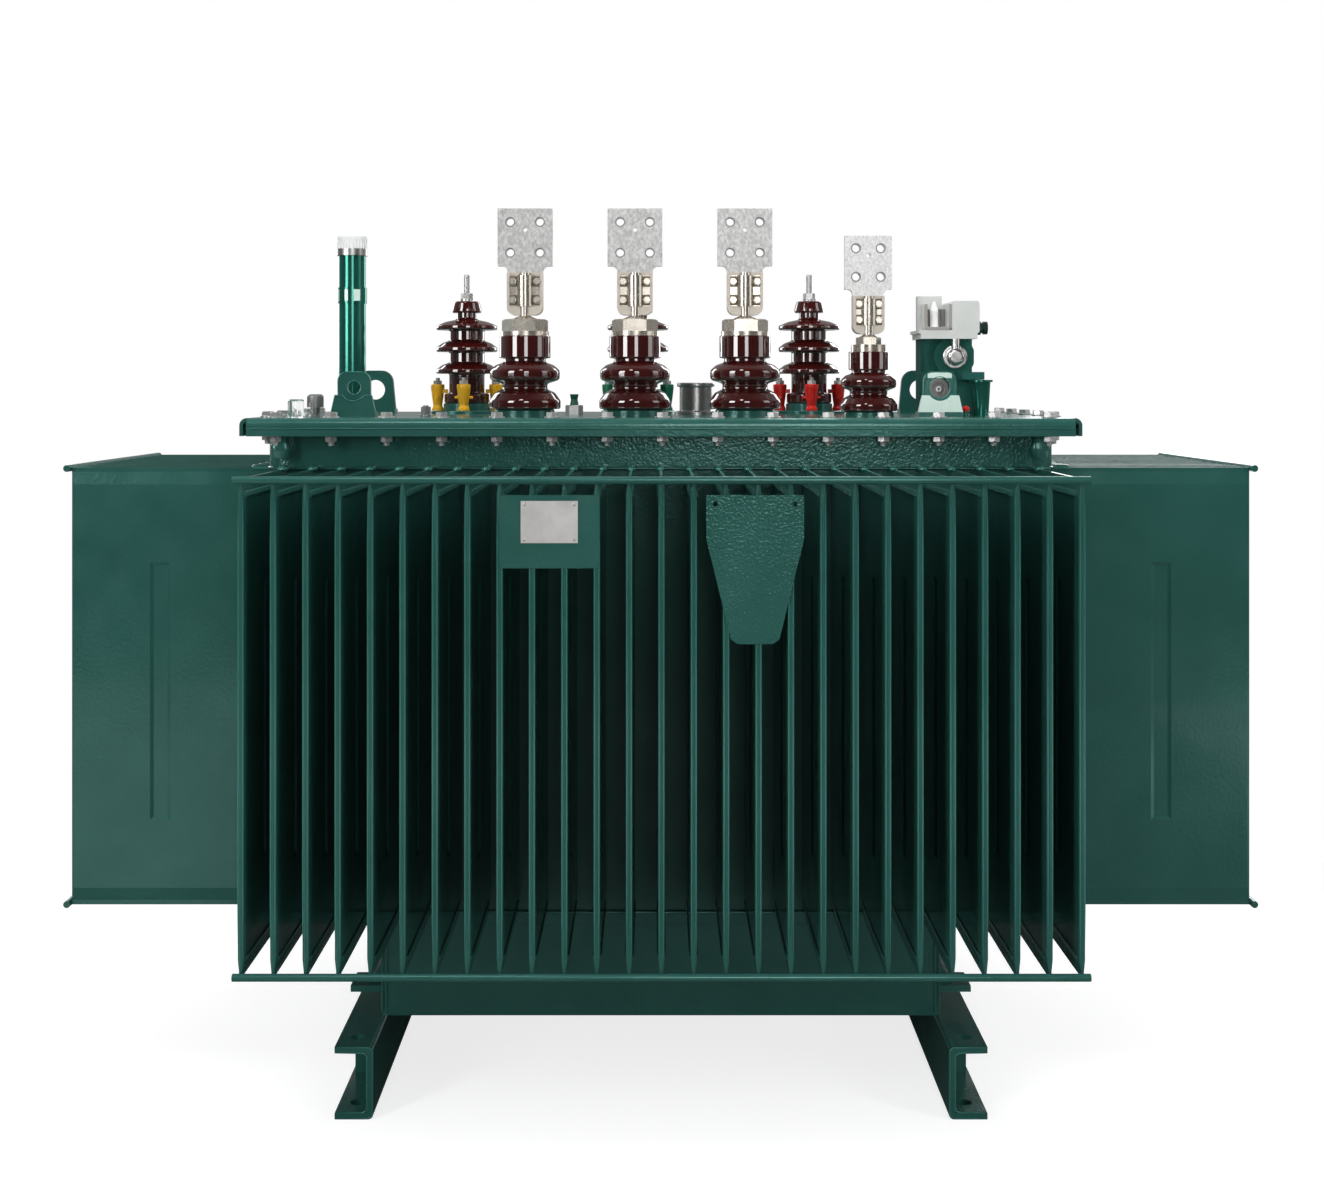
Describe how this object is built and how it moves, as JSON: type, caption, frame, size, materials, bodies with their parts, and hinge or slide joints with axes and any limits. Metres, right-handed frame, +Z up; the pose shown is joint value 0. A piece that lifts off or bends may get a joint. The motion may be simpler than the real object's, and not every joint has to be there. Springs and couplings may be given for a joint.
{
  "type": "electrical transformer",
  "caption": "Oil-filled distribution transformer with a corrugated-fin tank on foot channels, flag-terminal low-voltage bushings, porcelain high-voltage bushings and a cover relay.",
  "frame": {"origin": "on the floor under the middle of the tank", "axes": "+X along the tank's long side, +Y away from the low-voltage side, +Z up"},
  "size_m": [2.0986, 1.3406, 1.5365],
  "materials": {
    "tank_paint": "gloss blue-green enamel with a little orange peel",
    "pale_paint": "pale green enamel",
    "porcelain": "dark brown glaze",
    "nickel": "nickel-plated brass",
    "tinned_alloy": "tinned casting, slightly mottled",
    "zinc_steel": "zinc-plated steel",
    "stainless": "brushed stainless steel",
    "white_cap": "translucent white plastic",
    "clear_cup": "clear moulded cup",
    "relay_shell": "light grey moulding",
    "gland_black": "dark cable gland",
    "phase_yellow": "yellow phase paint",
    "phase_green": "green phase paint",
    "phase_red": "red phase paint",
    "plate_alloy": "bare satin nameplate",
    "plug_grey": "grey plated plug"
  },
  "bodies": {
    "root": {"left_foot": "tank_paint", "right_foot": "tank_paint", "front_base_beam": "tank_paint", "back_base_beam": "tank_paint", "beam_end_plates": "tank_paint", "jacking_brackets": "tank_paint", "tank_floor": "tank_paint", "front_wall": "tank_paint", "back_wall": "tank_paint", "left_wall": "tank_paint", "right_wall": "tank_paint", "front_fin_bars": "tank_paint", "back_fin_bars": "tank_paint", "left_fin_bars": "tank_paint", "right_fin_bars": "tank_paint", "tank_neck": "tank_paint", "cover": "tank_paint", "lv_base_rings": "tank_paint", "neutral_base_ring": "tank_paint", "hv_base_rings": "tank_paint", "front_left_lug": "tank_paint", "front_right_lug": "tank_paint", "back_lugs": "tank_paint", "filler_pipe": "tank_paint", "relay_body": "tank_paint", "relay_pipe": "tank_paint", "nameplate_holder": "tank_paint", "shield_plate": "tank_paint", "front_right_saddle": "pale_paint", "lv_insulators": "porcelain", "neutral_insulator": "porcelain", "hv_insulators": "porcelain", "relay_gauge_posts": "porcelain", "lv_collars": "nickel", "lv_clamps": "nickel", "neutral_collar": "nickel", "neutral_clamp": "nickel", "relay_knob": "nickel", "lv_flags": "tinned_alloy", "neutral_flag": "tinned_alloy", "hv_studs": "zinc_steel", "vent_plug": "zinc_steel", "tap_changer_housing": "stainless", "filler_ring": "stainless", "filler_cap": "white_cap", "relay_gauge": "white_cap", "sight_cup": "clear_cup", "relay_head": "relay_shell", "relay_gland": "gland_black", "hv_clamps_left": "phase_yellow", "hv_clamps_middle": "phase_green", "vent_cup": "phase_green", "hv_clamps_right": "phase_red", "nameplate": "plate_alloy", "thermometer_pocket": "plug_grey"}
  },
  "joints": []
}
